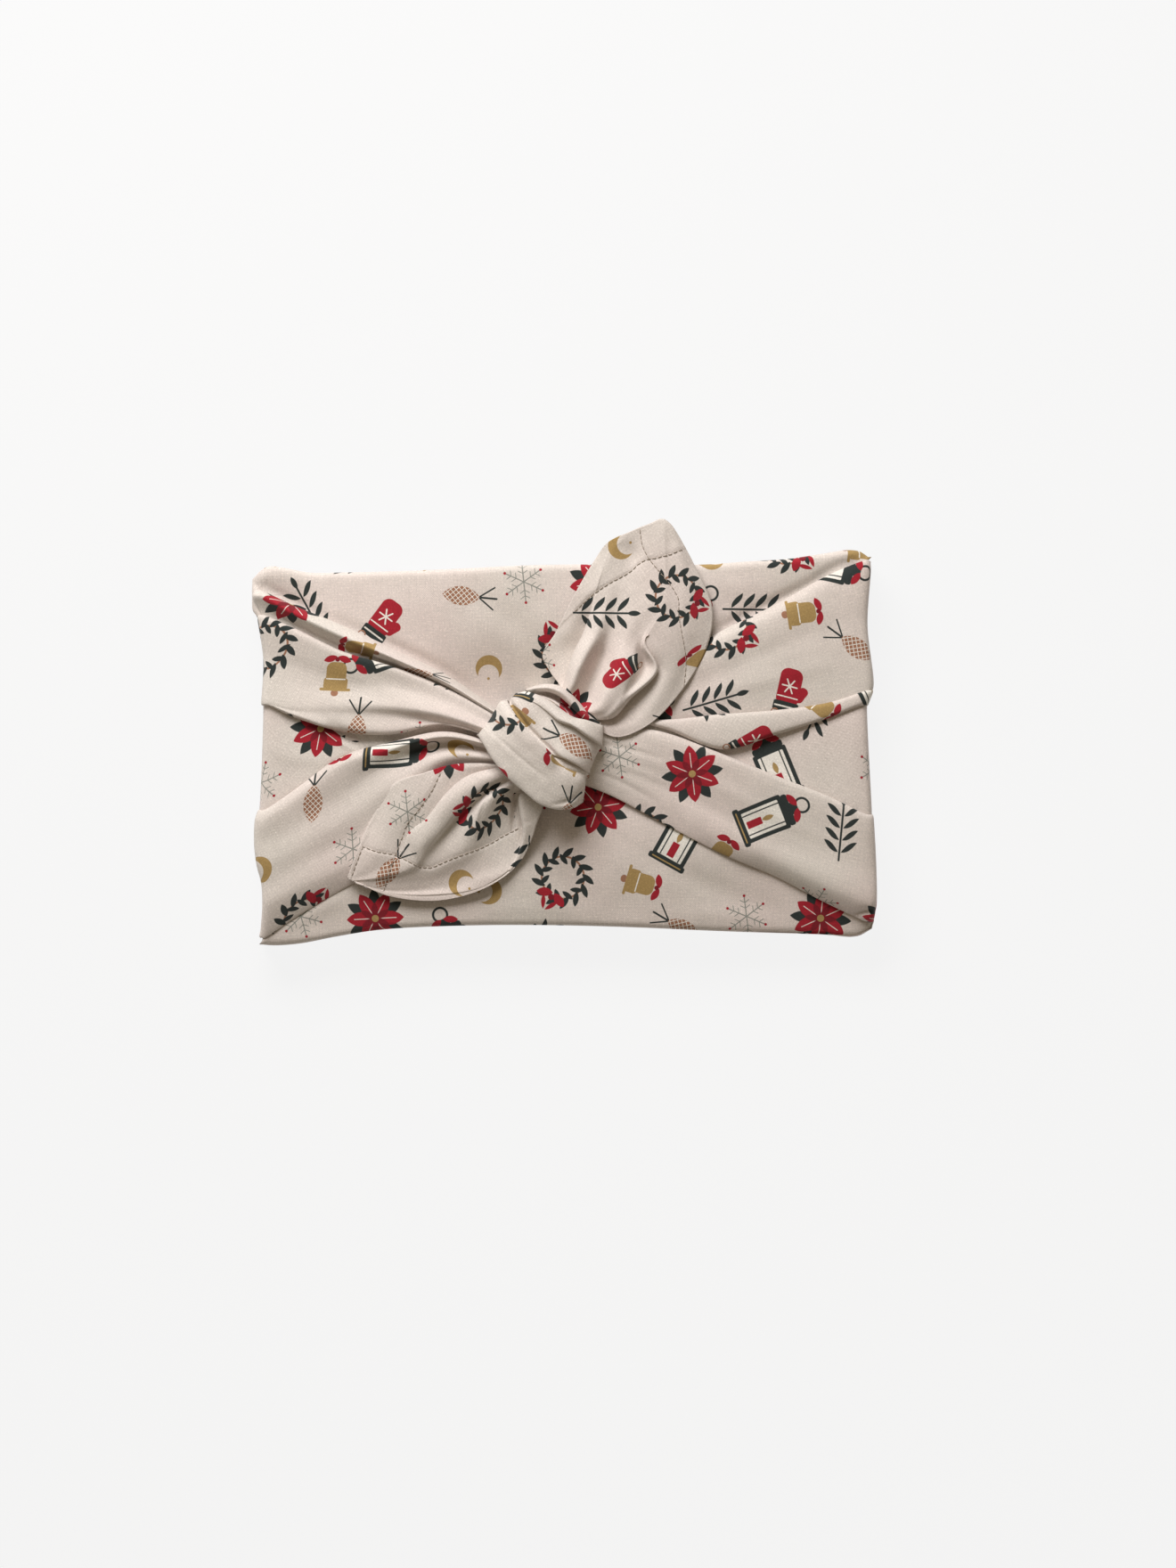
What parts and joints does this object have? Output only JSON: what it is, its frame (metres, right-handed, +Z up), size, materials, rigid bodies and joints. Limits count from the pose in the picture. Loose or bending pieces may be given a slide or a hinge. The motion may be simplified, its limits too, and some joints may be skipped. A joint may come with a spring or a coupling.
{
  "type": "furoshiki wrap",
  "caption": "Flat rectangular parcel wrapped in a hemmed square of printed cotton, drawn in from both ends and tied in a knot on the front, with the two cloth corners left free.",
  "frame": {"origin": "under the middle of the parcel's outline, on the plane it rests on", "axes": "+X along the long side, towards the end that the upper free corner points to; +Y along the short side, towards the edge that corner overhangs; +Z up, out of the front with the knot"},
  "size_m": [0.3209, 0.2175, 0.0575],
  "materials": {
    "printed_cotton": "plain weave cotton with a linen look, matt, printed with small scattered motifs"
  },
  "bodies": {
    "root": {"furoshiki_cloth": "printed_cotton"}
  },
  "joints": []
}
